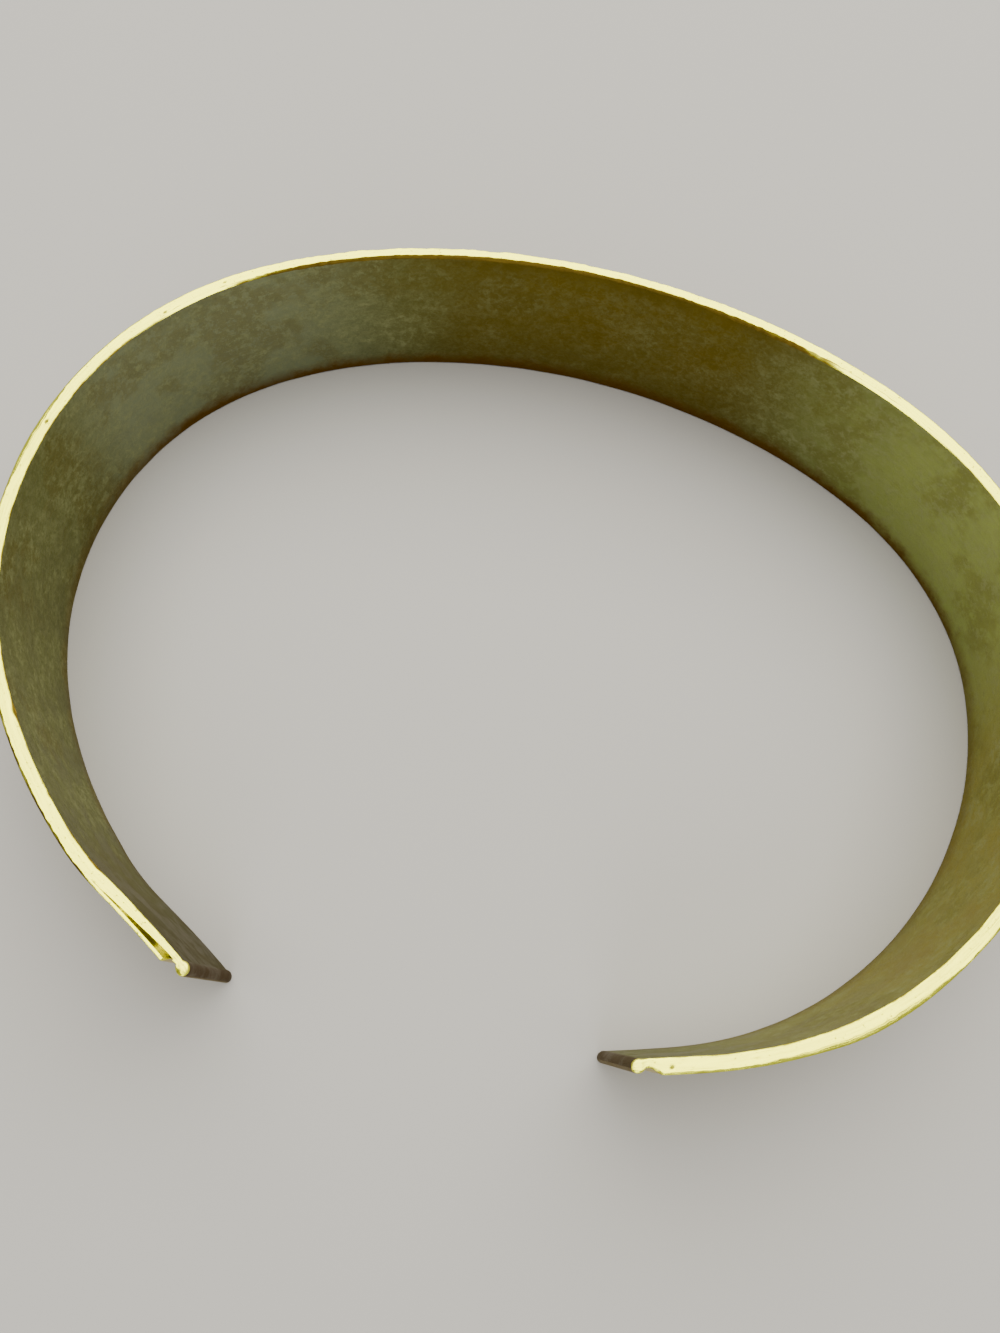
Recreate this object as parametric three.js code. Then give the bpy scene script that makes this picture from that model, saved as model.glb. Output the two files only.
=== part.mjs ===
// An open cuff bracelet: one plain strip of brass sheet, bent into a flat-backed oval with a gap for the
// wrist, lying on one long edge. Z is the wrist's way through it, X its width, and its mouth faces -Y.

import * as THREE from 'three';

// Driving sizes, in millimetres unless the name says degrees.
const BLANK_LENGTH = 152;
const BAND_WIDTH = 11.1;
const SHEET = 0.8;
const TURN_DEGREES = 322;
const RIM_CHAMFER = 0.12;

// Each end has a round lip across the band, and a groove filed across the outer face behind it.
const LIP_DIAMETER = 0.7;
const LIP_PROUD = 0.1;
const NECK_THICKNESS = 0.36;
const GROOVE_LENGTH = 0.35;
const LEFT_RUNOUT = 0.3;
const RIGHT_RUNOUT = 0.85;

// Near the left end the upper rim is split by a wedge-shaped slot, which leaves a thin sliver outside it.
const SLOT_LENGTH = 5.4;
const SLOT_WIDTH = 0.27;
const SLOT_DEPTH = 0.6;
const SLOT_START_WIDTH = 0.06;
const SLIVER = 0.18;

// Steps: the longest one along the band, the one used to follow the bend, and the angles round a lip.
const BAND_STEP = 1.2;
const WALK_STEP = 0.1;
const LIP_ANGLES = [25, 50, 75, 100, 125, 150];

// How sharply the strip is bent, from the left tip over the back to the right tip. Each row gives a place
// as a share of the blank's length, and the bend there as a share of the strip's mean bend.
const BENDS = [
  { share: 0, bend: 0 },
  { share: 0.035, bend: -0.25 },
  { share: 0.05, bend: 2.23 },
  { share: 0.07, bend: 0.75 },
  { share: 0.15, bend: 1.14 },
  { share: 0.29, bend: 1.42 },
  { share: 0.41, bend: 0.65 },
  { share: 0.58, bend: 0.59 },
  { share: 0.72, bend: 1.6 },
  { share: 0.76, bend: 1.2 },
  { share: 1, bend: 1.07 },
];

const brass = new THREE.MeshStandardMaterial({ color: 0xc2b066, roughness: 0.38, metalness: 1 });

// The area under the table of bends, up to a share of the length.
function bendArea(share) {
  let area = 0;
  for (let i = 1; i < BENDS.length; i += 1) {
    const from = BENDS[i - 1];
    const to = BENDS[i];
    const end = Math.min(share, to.share);
    if (end <= from.share) {
      break;
    }
    const bendAtEnd = THREE.MathUtils.mapLinear(end, from.share, to.share, from.bend, to.bend);
    area += ((from.bend + bendAtEnd) / 2) * (end - from.share);
  }
  return area;
}

// The way that the strip runs at a distance from its left tip, in radians. It turns clockwise.
function headingAt(distance) {
  const turn = THREE.MathUtils.degToRad(TURN_DEGREES);
  return (-turn * bendArea(distance / BLANK_LENGTH)) / bendArea(1);
}

// The middle line of the sheet at each distance, walked in short straight steps, and then turned so that
// the two tips lie on a line along X. Each place also holds the direction that points out of the cuff.
function middleLine(distances) {
  const places = [];
  const here = new THREE.Vector2();
  let walked = 0;
  for (const distance of distances) {
    const steps = Math.max(1, Math.ceil((distance - walked) / WALK_STEP));
    const step = (distance - walked) / steps;
    for (let i = 0; i < steps; i += 1) {
      const heading = headingAt(walked + (i + 0.5) * step);
      here.add(new THREE.Vector2(Math.cos(heading), Math.sin(heading)).multiplyScalar(step));
    }
    walked = distance;
    const heading = headingAt(distance);
    places.push({ point: here.clone(), outward: new THREE.Vector2(-Math.sin(heading), Math.cos(heading)) });
  }
  const chord = places[places.length - 1].point.clone().sub(places[0].point);
  const origin = new THREE.Vector2();
  for (const place of places) {
    place.point.rotateAround(origin, -chord.angle());
    place.outward.rotateAround(origin, -chord.angle());
  }
  return places;
}

// Where the band's inner and outer faces lie near an end, measured out from its inner face. The lip is a
// circle in plan that the thin neck runs into, and the outer face comes back over the run-out.
function facesNearEnd(fromTip, runout) {
  const risen = (fromTip - LIP_DIAMETER - GROOVE_LENGTH) / runout;
  const outer = THREE.MathUtils.lerp(NECK_THICKNESS, SHEET, THREE.MathUtils.clamp(risen, 0, 1));
  if (fromTip >= LIP_DIAMETER) {
    return { inner: 0, outer };
  }
  const radius = LIP_DIAMETER / 2;
  const half = Math.sqrt(radius ** 2 - (fromTip - radius) ** 2);
  const lip = { inner: radius - LIP_PROUD - half, outer: radius - LIP_PROUD + half };
  if (fromTip < radius) {
    return lip;
  }
  return { inner: Math.min(0, lip.inner), outer: Math.max(outer, lip.outer) };
}

// The faces at a distance from the left tip: whichever end is nearer shapes them.
function facesAt(distance) {
  const fromRight = BLANK_LENGTH - distance;
  if (distance < fromRight) {
    return facesNearEnd(distance, LEFT_RUNOUT);
  }
  return facesNearEnd(fromRight, RIGHT_RUNOUT);
}

// The slot starts where the left end's groove has run out, and is widest and deepest there.
const SLOT_MOUTH = LIP_DIAMETER + GROOVE_LENGTH + LEFT_RUNOUT;

function slotShare(distance) {
  if (distance < SLOT_MOUTH) {
    return 0;
  }
  return Math.max(0, 1 - (distance - SLOT_MOUTH) / SLOT_LENGTH);
}

// The cross-section at a distance from the left tip, as [way out from the inner face, height] points. It
// runs up the outer face, inwards over the rim and its slot, and down the inner face. What lies across the
// sheet shrinks with it where an end is thin.
function sectionAt(distance) {
  const { inner, outer } = facesAt(distance);
  const thin = Math.min(1, (outer - inner) / SHEET);
  const chamfer = RIM_CHAMFER * thin;
  const open = slotShare(distance);
  const sliverEdge = outer - SLIVER * thin;
  const slotWidth = THREE.MathUtils.lerp(SLOT_START_WIDTH, SLOT_WIDTH, open) * thin;
  const slotEdge = sliverEdge - slotWidth;
  return [
    [inner, chamfer],
    [inner + chamfer, 0],
    [outer - chamfer, 0],
    [outer, chamfer],
    [outer, BAND_WIDTH - chamfer],
    [outer - chamfer, BAND_WIDTH],
    [sliverEdge, BAND_WIDTH],
    [(sliverEdge + slotEdge) / 2, BAND_WIDTH - SLOT_DEPTH * open],
    [slotEdge, BAND_WIDTH],
    [inner + chamfer, BAND_WIDTH],
    [inner, BAND_WIDTH - chamfer],
  ];
}

// Distances from the tip of an end at which its shape changes.
function endStations(runout) {
  const radius = LIP_DIAMETER / 2;
  const roundLip = LIP_ANGLES.map((angle) => radius * (1 - Math.cos(THREE.MathUtils.degToRad(angle))));
  const neck = LIP_DIAMETER;
  const rise = LIP_DIAMETER + GROOVE_LENGTH;
  return [...roundLip, neck, rise, rise + runout];
}

// Distances from the left tip of every cross-section: both ends' own, and even steps between them.
function stations() {
  const left = endStations(LEFT_RUNOUT);
  const right = endStations(RIGHT_RUNOUT).map((fromTip) => BLANK_LENGTH - fromTip).reverse();
  const plainFrom = left[left.length - 1];
  const slotEnd = SLOT_MOUTH + SLOT_LENGTH;
  return [...left, ...evenly(plainFrom, slotEnd), ...evenly(slotEnd, right[0]), ...right.slice(1)];
}

// Places after the first, up to and with the last, none further apart than the band's step.
function evenly(first, last) {
  const count = Math.ceil((last - first) / BAND_STEP);
  return Array.from({ length: count }, (_, i) => first + ((last - first) * (i + 1)) / count);
}

// One closed skin through the cross-sections: a strip of triangles for each side, and a fan at each tip.
function bandGeometry() {
  const distances = stations();
  const places = middleLine(distances);
  const positions = [];
  const triangles = [];
  const sides = sectionAt(0).length;
  distances.forEach((distance, row) => {
    const { point, outward } = places[row];
    for (const [out, height] of sectionAt(distance)) {
      const fromMiddle = out - SHEET / 2;
      positions.push(point.x + outward.x * fromMiddle, point.y + outward.y * fromMiddle, height);
    }
  });
  for (let row = 1; row < distances.length; row += 1) {
    for (let side = 0; side < sides; side += 1) {
      const here = row * sides + side;
      const beside = row * sides + ((side + 1) % sides);
      triangles.push(here - sides, beside, here);
      triangles.push(here - sides, beside - sides, beside);
    }
  }
  const lastRow = (distances.length - 1) * sides;
  for (let side = 1; side < sides - 1; side += 1) {
    triangles.push(0, side + 1, side);
    triangles.push(lastRow, lastRow + side, lastRow + side + 1);
  }
  const geometry = new THREE.BufferGeometry();
  geometry.setAttribute('position', new THREE.Float32BufferAttribute(positions, 3));
  geometry.setIndex(triangles);
  geometry.computeVertexNormals();
  return geometry;
}

// The cuff stands with the origin under the middle of its box.
const band = new THREE.Mesh(bandGeometry(), brass);
band.name = 'cuff_band';
band.geometry.computeBoundingBox();
const middle = band.geometry.boundingBox.getCenter(new THREE.Vector3());
band.position.set(-middle.x, -middle.y, -band.geometry.boundingBox.min.z);

const cuff = new THREE.Group();
cuff.add(band);

export default cuff;
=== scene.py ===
"""Looks of an open cuff bracelet: its fine brass skin and finishes, a pale floor, soft lights and a camera.

Lengths are in millimetres in the classes' fields and become metres where a mesh, lamp or camera is made.
"""

import logging
import math
from dataclasses import dataclass, field
from enum import Enum, IntEnum
from functools import partial
from typing import Any

import bpy
import numpy as np
from mathutils import Matrix, Vector


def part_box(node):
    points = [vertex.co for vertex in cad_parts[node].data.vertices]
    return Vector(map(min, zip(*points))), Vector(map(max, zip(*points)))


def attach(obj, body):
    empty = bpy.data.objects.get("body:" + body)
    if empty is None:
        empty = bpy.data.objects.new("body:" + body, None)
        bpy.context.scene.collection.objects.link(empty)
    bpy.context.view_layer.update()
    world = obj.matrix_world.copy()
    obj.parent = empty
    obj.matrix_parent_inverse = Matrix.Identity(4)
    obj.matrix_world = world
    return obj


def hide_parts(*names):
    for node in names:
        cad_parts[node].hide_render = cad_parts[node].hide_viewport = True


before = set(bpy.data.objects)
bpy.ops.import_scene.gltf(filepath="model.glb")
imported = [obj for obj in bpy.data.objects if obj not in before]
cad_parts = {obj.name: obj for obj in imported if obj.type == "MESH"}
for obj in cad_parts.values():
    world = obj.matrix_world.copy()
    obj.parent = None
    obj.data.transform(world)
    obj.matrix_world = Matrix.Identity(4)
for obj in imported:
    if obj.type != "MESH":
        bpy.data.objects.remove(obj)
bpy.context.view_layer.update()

log = logging.getLogger("cuff")

MM = 0.001
NODE = "cuff_band"
BODY = "root"

Array = np.ndarray
Tree = bpy.types.NodeTree
Socket = bpy.types.NodeSocket

# Where a finish's change starts and ends, in millimetres or a layer's share, and then its values there
# unless they are nothing and one.
Span = tuple[float, ...]


class Face(Enum):
    """The band's kinds of surface, in the order of the mesh's material slots."""

    INSIDE = 0
    OUTSIDE = 1
    RIM = 2


class Side(IntEnum):
    """The sides of the band's cross-section, in order round it from the foot of the inner face."""

    LOWER_INNER_CUT = 0
    LOWER_FLAT = 1
    LOWER_OUTER_CUT = 2
    OUTSIDE = 3
    OUTER_CHAMFER = 4
    SLIVER_TOP = 5
    SLOT_OUTER_WALL = 6
    SLOT_INNER_WALL = 7
    UPPER_FLAT = 8
    INNER_CHAMFER = 9
    INSIDE = 10


class Kind(Enum):
    """The kinds of node that the finishes use.

    Each holds the node's type name, its settings, the inputs that plain values go to in turn, and the
    output that is read.
    """

    ADD = ("ShaderNodeMath", {"operation": "ADD"}, (0, 1), 0)
    SUBTRACT = ("ShaderNodeMath", {"operation": "SUBTRACT"}, (0, 1), 0)
    MULTIPLY = ("ShaderNodeMath", {"operation": "MULTIPLY"}, (0, 1), 0)
    LARGER = ("ShaderNodeMath", {"operation": "MAXIMUM"}, (0, 1), 0)
    UNSIGNED = ("ShaderNodeMath", {"operation": "ABSOLUTE"}, (0,), 0)
    RAMP = ("ShaderNodeMapRange", {"clamp": True, "interpolation_type": "SMOOTHSTEP"}, (0, 1, 2, 3, 4), 0)
    MIX = ("ShaderNodeMix", {"data_type": "RGBA"}, (0, 6, 7), 2)
    NOISE = ("ShaderNodeTexNoise", {"noise_dimensions": "4D"}, ("Vector",), 0)
    PLACE = ("ShaderNodeTexCoord", {}, (), "Object")
    STRIP = ("ShaderNodeUVMap", {"uv_map": "strip"}, (), "UV")
    BARE = ("ShaderNodeAttribute", {"attribute_name": "bare"}, (), "Fac")
    SCALE = ("ShaderNodeVectorMath", {"operation": "SCALE"}, (0, "Scale"), 0)
    STRETCH = ("ShaderNodeVectorMath", {"operation": "MULTIPLY"}, (0, 1), 0)
    X_OF = ("ShaderNodeSeparateXYZ", {}, (0,), "X")
    Y_OF = ("ShaderNodeSeparateXYZ", {}, (0,), "Y")
    Z_OF = ("ShaderNodeSeparateXYZ", {}, (0,), "Z")
    BUMP = ("ShaderNodeBump", {}, ("Height",), "Normal")


def linear(hex_colour: str) -> tuple[float, float, float, float]:
    """Turn an sRGB hex colour into Blender's linear one.

    Args:
        hex_colour: six hex digits, with or without a leading hash.

    Returns:
        Linear red, green and blue, and an alpha of one.
    """
    digits = hex_colour.lstrip("#")
    parts = [int(digits[i:i + 2], 16) / 255 for i in (0, 2, 4)]
    bright = [p / 12.92 if p <= 0.04045 else ((p + 0.055) / 1.055) ** 2.4 for p in parts]
    return (bright[0], bright[1], bright[2], 1.0)


def add_node(tree: Tree, kind: Kind, *plain: Any, **named: Any) -> Socket:
    """Add a node to a tree with its settings, and link or set its inputs.

    Args:
        tree: the node tree that gets it.
        kind: what kind of node it is.
        *plain: output sockets or values for the kind's own inputs, in turn.
        **named: the same for inputs given by name, with underscores for spaces.

    Returns:
        The output socket that the kind gives.
    """
    type_name, settings, inputs, output = kind.value
    node = tree.nodes.new(type_name)
    for name, setting in settings.items():
        setattr(node, name, setting)
    values = dict(zip(inputs, plain)) | {name.replace("_", " "): value for name, value in named.items()}
    for key, value in values.items():
        if isinstance(value, Socket):
            tree.links.new(value, node.inputs[key])
        else:
            node.inputs[key].default_value = value
    return node.outputs[output]


def smooth(share: Array) -> Array:
    """Round off an even rise: three times the square less twice the cube."""
    return share * share * (3 - 2 * share)


def pressed_in(share: Array) -> Array:
    """The depth along a hollow: a cubic that is one at a third, and reaches its end without a corner."""
    return 27 / 4 * share * (1 - share) ** 2


def ripple(at: Array, shortest: float, longest: float, seed: int, count: int = 30) -> Array:
    """A smooth random line or sheet.

    It is a sum of sines, each with its own direction, phase and wavelength between the shortest and the
    longest, divided so that its spread is about one.

    Args:
        at: the places where it is wanted, in millimetres, with one or two coordinates in the last axis.
        shortest: the shortest wavelength, in millimetres.
        longest: the longest wavelength, in millimetres.
        seed: the start of the random draw.
        count: how many sines.

    Returns:
        The value at each place.
    """
    draw = np.random.default_rng(seed)
    way = draw.normal(size=(at.shape[-1], count))
    way /= np.linalg.norm(way, axis=0)
    lengths = np.exp(draw.uniform(math.log(shortest), math.log(longest), count))
    phases = draw.uniform(0, 2 * math.pi, count)
    return np.sin(2 * math.pi * (at @ way) / lengths + phases).sum(-1) * math.sqrt(2 / count)


@dataclass(frozen=True)
class Bend:
    """How sharply the strip is bent at one place, as a share of its mean bend."""

    share: float
    bend: float


@dataclass
class Strip:
    """The middle line of the bent sheet, from the left tip clockwise over the back to the right tip."""

    blank_length: float = 152.0
    turn_degrees: float = 322.0
    walk_step: float = 0.02
    bends: tuple[Bend, ...] = tuple(Bend(*row) for row in (
        (0, 0), (0.035, -0.25), (0.05, 2.23), (0.07, 0.75), (0.15, 1.14), (0.29, 1.42), (0.41, 0.65),
        (0.58, 0.59), (0.72, 1.6), (0.76, 1.2), (1, 1.07),
    ))

    def line(self) -> tuple[Array, Array, Array]:
        """Work out the middle line in fine steps.

        The bend runs straight from row to row of the table. The heading is the sum of the bend along the
        strip, scaled to the whole turn, and the line is the sum of short steps along the heading. It is
        then turned so that the two tips lie on a line along X.

        Returns:
            The distance, the point and the way out of the cuff at each step.
        """
        count = int(self.blank_length / self.walk_step)
        step = self.blank_length / count
        middles = (np.arange(count) + 0.5) / count
        bend = np.interp(middles, [row.share for row in self.bends], [row.bend for row in self.bends])
        per_step = -math.radians(self.turn_degrees) * bend / bend.sum()
        heading = np.cumsum(per_step) - per_step / 2
        steps = np.column_stack([np.cos(heading), np.sin(heading)]) * step
        points = np.vstack([np.zeros(2), np.cumsum(steps, axis=0)])
        ends = np.concatenate([[0.0], np.cumsum(per_step)])
        chord = math.atan2(points[-1, 1], points[-1, 0])
        turn = np.array([[math.cos(chord), math.sin(chord)], [-math.sin(chord), math.cos(chord)]])
        points = points @ turn.T
        outward = np.column_stack([-np.sin(ends - chord), np.cos(ends - chord)])
        return np.arange(count + 1) * step, points, outward


@dataclass
class Tip:
    """One end of the strip: a round lip across the band with a filed groove behind it on the outer face.

    The end runs on a little past the blank and swings out of the bend, and behind the swing the strip is
    pressed in by a shallow hollow. The low part of the rim starts some lip radii from the tip.
    """

    runout: float
    lip_diameter: float = 0.7
    lip_proud: float = 0.1
    neck: float = 0.36
    groove_length: float = 0.35
    dome: float = 0.12
    neck_low: float = 0.04
    low_from: float = 1.3
    runs_on: float = 0.2
    swing: float = 0.1
    swing_length: float = 3.0
    hollow: float = 0.13
    hollow_length: float = 12.0

    def reach(self) -> float:
        """How far from the tip the end's own shape goes."""
        return self.lip_diameter + self.groove_length + self.runout

    def faces(self, from_tip: Array, sheet: float) -> tuple[Array, Array]:
        """Where the inner and outer faces lie near this end.

        The lip is a circle in plan. The neck behind it is thin, and the outer face then comes back to the
        sheet's thickness over the run-out in a smooth step.

        Args:
            from_tip: distances from the tip.
            sheet: the sheet's thickness.

        Returns:
            The inner and the outer face's place, measured out from the sheet's inner face.
        """
        radius = self.lip_diameter / 2
        risen = np.clip((from_tip - self.lip_diameter - self.groove_length) / self.runout, 0, 1)
        outer = self.neck + (sheet - self.neck) * smooth(risen)
        half = np.sqrt(np.clip(radius ** 2 - (from_tip - radius) ** 2, 0, None))
        lip_inner = radius - self.lip_proud - half
        lip_outer = radius - self.lip_proud + half
        in_front = from_tip < radius
        in_lip = from_tip < self.lip_diameter
        inner = np.where(in_front, lip_inner, np.where(in_lip, np.minimum(0, lip_inner), 0))
        outer = np.where(in_front, lip_outer, np.where(in_lip, np.maximum(outer, lip_outer), outer))
        return inner, outer

    def drop(self, from_tip: Array) -> Array:
        """How far the upper rim falls at the lip, which is domed, and at the neck, which is filed low.

        The lip's outer half falls along a quarter of an ellipse, and the neck is a shallow sine that ends
        with the groove.

        Args:
            from_tip: distances from the tip.

        Returns:
            The drop at each distance.
        """
        radius = self.lip_diameter / 2
        towards = np.clip(1 - from_tip / radius, 0, 1)
        dome = self.dome * (1 - np.sqrt(1 - towards ** 2))
        start = self.low_from * radius
        neck = np.clip((from_tip - start) / (self.lip_diameter + self.groove_length - start), 0, 1)
        return dome + self.neck_low * np.sin(math.pi * neck)

    def shift(self, from_tip: Array) -> tuple[Array, Array]:
        """How far the end runs on past the blank, and how far it swings out of the bend.

        The first fades evenly over the swing's length, and the second with the square. The hollow's depth
        is taken off the second.

        Args:
            from_tip: distances from the tip.

        Returns:
            The shift along the strip towards the tip, and the shift outwards.
        """
        near = np.clip(1 - from_tip / self.swing_length, 0, 1)
        hollow = self.hollow * pressed_in(np.clip(from_tip / self.hollow_length, 0, 1))
        return self.runs_on * near, self.swing * near ** 2 - hollow


@dataclass
class Slot:
    """The wedge-shaped split in the left end's upper rim, and the thin sliver outside it.

    It opens into the groove behind the lip, and the sliver's end slopes down there. A little of the flat,
    the shoulder, is always left beside the chamfer. The slot's bottom leans towards the sliver. The late
    share of its depth comes with the fourth power of how far open it is, and the rest evenly. Its walls are
    about half bare of tarnish.
    """

    length: float = 5.4
    width: float = 0.34
    depth: float = 0.6
    start_width: float = 0.04
    sliver: float = 0.17
    landing: float = 0.1
    spread: float = 1.5
    shoulder: float = 0.02
    lean: float = 0.3
    late_share: float = 0.6
    mouth_chamfer: float = 0.3
    bare: float = 0.58

    def rise(self, distance: Array, tip: Tip) -> Array:
        """How far the slot has opened where it starts at the groove: from nothing to one over the landing."""
        return np.clip((distance - tip.reach() + tip.runout) / self.landing + 1, 0, 1)

    def open_share(self, distance: Array, tip: Tip) -> Array:
        """How far open the slot is: one at its mouth, and falling evenly to nothing along the rim."""
        return self.rise(distance, tip) * np.clip(1 - (distance - tip.reach()) / self.length, 0, 1)

    def fallen(self, distance: Array, tip: Tip) -> Array:
        """How far the sliver has sloped down to the slot's bottom: a smooth step over the tip's run-out."""
        return smooth(np.clip((tip.reach() - distance) / tip.runout, 0, 1)) * self.rise(distance, tip)


@dataclass(frozen=True)
class Chamfer:
    """The upper rim's two hand-filed chamfers at one place: how wide each is, and how bare of tarnish."""

    share: float
    inner_cut: float
    inner_bare: float
    outer_cut: float
    outer_bare: float


@dataclass(frozen=True)
class Mark:
    """A small dent in the upper rim: its place along and across the strip, its half sizes and its depth."""

    share: float
    across: float
    half_along: float
    half_across: float
    depth: float


@dataclass(frozen=True)
class Burr:
    """A place where filing pushed the upper rim's outer edge out: where, its half length and how far."""

    share: float
    half_along: float
    out: float


@dataclass
class Wear:
    """What use and hand filing did to the upper rim and to the two broad faces.

    A bare chamfer is nearly flat and a dull one is steep: the slopes are how far each falls for its width.
    The edges' waver is that of a chamfer as wide as the waver's cut, and the waves are from the shortest to
    the longest. A mark's dirt grows with its depth, up to the most dirt. Dents reach a little way down the
    faces, and fade out there.
    """

    chamfers: tuple[Chamfer, ...] = tuple(Chamfer(*row) for row in (
        (0.0, 0.16, 1.0, 0.16, 1.0), (0.0035, 0.15, 1.0, 0.15, 1.0), (0.006, 0.045, 0.8, 0.05, 1.0),
        (0.04, 0.04, 0.6, 0.045, 0.9), (0.05, 0.05, 0.6, 0.13, 0.55), (0.08, 0.05, 0.6, 0.15, 0.55),
        (0.2, 0.045, 0.6, 0.1, 0.8), (0.212, 0.045, 0.6, 0.27, 1.0), (0.238, 0.045, 0.6, 0.25, 1.0),
        (0.252, 0.07, 0.6, 0.1, 0.8), (0.29, 0.09, 0.7, 0.07, 0.8), (0.302, 0.2, 1.0, 0.045, 0.8),
        (0.324, 0.19, 1.0, 0.045, 0.8), (0.335, 0.12, 0.6, 0.07, 0.6), (0.36, 0.13, 0.2, 0.15, 0.3),
        (0.47, 0.15, 0.1, 0.18, 0.2), (0.525, 0.1, 0.2, 0.13, 0.3), (0.56, 0.17, 0.25, 0.08, 0.5),
        (0.585, 0.2, 0.55, 0.045, 0.7), (0.6, 0.24, 1.0, 0.045, 0.8), (0.64, 0.22, 1.0, 0.045, 0.8),
        (0.652, 0.1, 0.8, 0.07, 0.8), (0.665, 0.045, 0.7, 0.08, 0.8), (0.88, 0.045, 0.7, 0.1, 0.9),
        (0.9, 0.045, 0.7, 0.26, 1.0), (0.942, 0.045, 0.7, 0.24, 1.0), (0.957, 0.045, 0.7, 0.14, 0.9),
        (0.978, 0.045, 0.7, 0.12, 0.8), (0.987, 0.045, 0.8, 0.12, 0.8), (0.9902, 0.045, 0.8, 0.1, 0.8),
        (0.9915, 0.045, 0.8, 0.2, 0.7), (0.9945, 0.045, 0.8, 0.2, 0.7), (0.9952, 0.15, 1.0, 0.15, 1.0),
        (1.0, 0.16, 1.0, 0.16, 1.0),
    ))
    marks: tuple[Mark, ...] = tuple(Mark(*row) for row in (
        (0.0026, 0.52, 0.12, 0.1, 0.08), (0.0468, 0.02, 0.5, 0.07, 0.05), (0.1118, 0.02, 0.4, 0.11, 0.15),
        (0.232, 0.42, 0.13, 0.08, 0.07), (0.2986, 0.34, 0.12, 0.07, 0.06), (0.3262, 0.52, 0.1, 0.07, 0.05),
        (0.6, 0.3, 0.16, 0.05, 0.05), (0.9595, 0.45, 0.2, 0.06, 0.02), (0.9875, 0.5, 0.1, 0.08, 0.06),
        (0.0191, 0.74, 0.14, 0.12, -0.06),
    ))
    mark_dirt: float = 12.0
    most_dirt: float = 0.7
    dent_reach: float = 0.5
    dent_fade: float = 0.3
    bare_slope: float = 0.3
    dull_slope: float = 1.5
    foot_power: float = 2.5
    lower_bare: float = 0.3
    least_cut: float = 0.03
    edge_waver: float = 0.012
    edge_waves: tuple[float, float] = (0.5, 4.0)
    waver_cut: float = 0.1
    face_waver: float = 0.008
    face_waves: tuple[float, float] = (2.5, 18.0)
    calm_length: float = 3.0
    burrs: tuple[Burr, ...] = (Burr(0.915, 3.6, 0.16), Burr(0.226, 2.4, 0.04))
    burr_height: float = 1.2
    line_dirt: float = 0.55
    line_from: float = 0.1
    clean_length: float = 1.36

    def along(self, length: float, distance: Array) -> dict[str, Array]:
        """The chamfers' sizes and bareness, straight from row to row, with a wavering edge.

        The waver grows with the root of the chamfer's width.

        Args:
            length: the strip's length.
            distance: distances from the left tip.

        Returns:
            An array over the distances for each of the rows' four values, by its name.
        """
        shares = [row.share for row in self.chamfers]
        rows = {name: np.interp(distance / length, shares, [getattr(row, name) for row in self.chamfers])
                for name in ("inner_cut", "inner_bare", "outer_cut", "outer_bare")}
        for name, seed in (("inner_cut", 11), ("outer_cut", 12)):
            waver = self.edge_waver * ripple(distance[:, None], *self.edge_waves, seed)
            wavered = rows[name] + waver * np.sqrt(rows[name] / self.waver_cut)
            rows[name] = np.maximum(wavered, self.least_cut)
        return rows

    def slope(self, bare: Array) -> Array:
        """How far a chamfer falls for its width, from the dull slope to the bare one."""
        return self.dull_slope + (self.bare_slope - self.dull_slope) * bare

    def line(self, cut: Array) -> Array:
        """How bare the thin line is where a chamfer meets the flat: a wide chamfer keeps dirt in it."""
        return 1 - self.line_dirt * np.clip((cut - self.line_from) / self.line_from, 0, 1)

    def pushed_out(self, length: float, distance: Array, below_rim: Array) -> Array:
        """How far the burrs push the outer face out.

        Each is a bell along the strip, and it fades with the square of the way down from the rim.

        Args:
            length: the strip's length.
            distance: the rings' distances, a column.
            below_rim: how far each point lies under the rim.

        Returns:
            The push at each point.
        """
        near = np.clip(1 - below_rim / self.burr_height, 0, 1) ** 2
        bells = [burr.out * np.exp(-((distance - burr.share * length) / burr.half_along) ** 2)
                 for burr in self.burrs]
        return near * sum(bells)

    def dents(self, length: float, distance: Array, out: Array) -> tuple[Array, Array]:
        """How deep the marks press the rim down, and how full each place is of a mark.

        Each mark is a bell: e to the minus square of the way from its middle in half sizes.

        Args:
            length: the strip's length.
            distance: the rings' distances, a column.
            out: the points' ways out from the inner face.

        Returns:
            The depth and the fullness at each point.
        """
        depth = np.zeros_like(out)
        full = np.zeros_like(out)
        for mark in self.marks:
            along = (distance - mark.share * length) / mark.half_along
            across = (out - mark.across) / mark.half_across
            bell = np.exp(-along ** 2 - across ** 2)
            depth += mark.depth * bell
            full = np.maximum(full, bell * np.clip(self.mark_dirt * mark.depth, 0, self.most_dirt))
        return depth, full


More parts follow.
